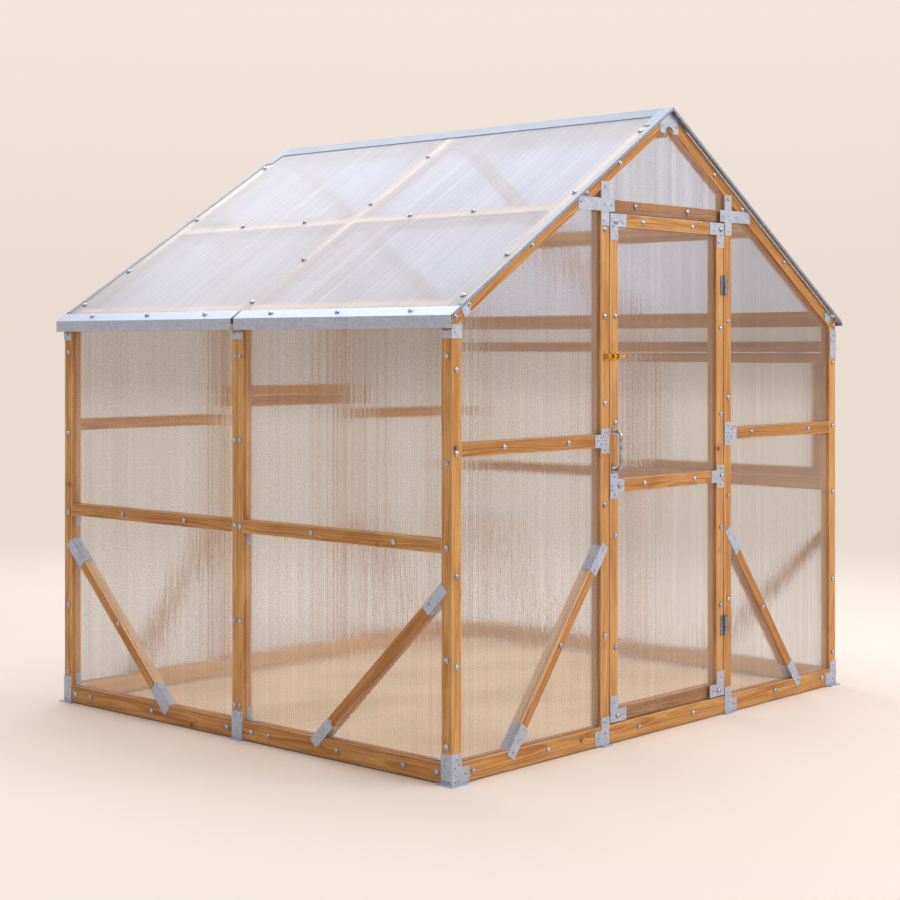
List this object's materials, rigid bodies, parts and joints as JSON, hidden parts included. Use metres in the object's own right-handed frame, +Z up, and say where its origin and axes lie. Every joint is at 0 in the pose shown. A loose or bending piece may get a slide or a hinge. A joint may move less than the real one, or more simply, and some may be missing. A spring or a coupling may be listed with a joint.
{
  "type": "wooden greenhouse",
  "caption": "Timber-framed greenhouse with twin-wall glazing, a pitched roof with folded metal trims, corner braces, vent windows and a hinged door with pull handle and barrel bolt.",
  "frame": {"origin": "middle of the plan at ground level, under the feet", "axes": "+Z up, the front gable with the door faces -Y, +X along the front gable towards the hinge side"},
  "size_m": [2.372, 2.086, 2.2342],
  "materials": {
    "timber": "planed softwood with a honey-coloured oil finish",
    "galvanised_steel": "galvanised sheet, dull spangle",
    "hinge_steel": "plain steel butt hinges",
    "twin_wall_sheet": "clear twin-wall sheet with fine flutes",
    "brass": "polished brass",
    "bright_steel": "bright plated bar"
  },
  "bodies": {
    "frame": {"front_left_post": "timber", "front_right_post": "timber", "back_left_post": "timber", "back_right_post": "timber", "left_mid_post": "timber", "right_mid_post": "timber", "left_door_post": "timber", "right_door_post": "timber", "back_posts": "timber", "front_sill": "timber", "back_sill": "timber", "side_sills": "timber", "left_rails": "timber", "right_rails": "timber", "front_rails": "timber", "back_rails": "timber", "headers": "timber", "front_rafters": "timber", "mid_rafters": "timber", "back_rafters": "timber", "ridge_board": "timber", "purlins": "timber", "front_braces": "timber", "back_braces": "timber", "left_braces": "timber", "right_braces": "timber", "back_window_sash": "timber", "side_window_sash": "timber", "brace_caps": "galvanised_steel", "post_feet": "galvanised_steel", "head_brackets": "galvanised_steel", "upper_brackets": "galvanised_steel", "rail_plates": "galvanised_steel", "head_straps": "galvanised_steel", "ridge_gussets": "galvanised_steel", "wall_angles": "galvanised_steel", "ridge_cap": "galvanised_steel", "verge_trims": "galvanised_steel", "eave_trims": "galvanised_steel", "window_hinges": "galvanised_steel", "post_hinge_leaves": "hinge_steel", "left_panels": "twin_wall_sheet", "right_panels": "twin_wall_sheet", "front_panels": "twin_wall_sheet", "back_panels": "twin_wall_sheet", "left_roof_panels": "twin_wall_sheet", "right_roof_panels": "twin_wall_sheet", "window_panes": "twin_wall_sheet", "bolt_keeper": "brass"},
    "door": {"door_stiles": "timber", "door_rails": "timber", "door_panels": "twin_wall_sheet", "door_plates": "galvanised_steel", "door_hinge_leaves": "hinge_steel", "door_handle": "bright_steel", "bolt_case": "brass"},
    "bolt": {"bolt_rod": "brass"}
  },
  "joints": [
    {"name": "door_swing", "type": "hinge", "parent": "frame", "child": "door", "pos_m": [0.352, -1.0203, 1], "axis": [0, 0, 1], "range_deg": [0, 110]},
    {"name": "bolt_slide", "type": "slide", "parent": "door", "child": "bolt", "axis": [-1, 0, 0], "range_m": [0, 0.024]}
  ]
}
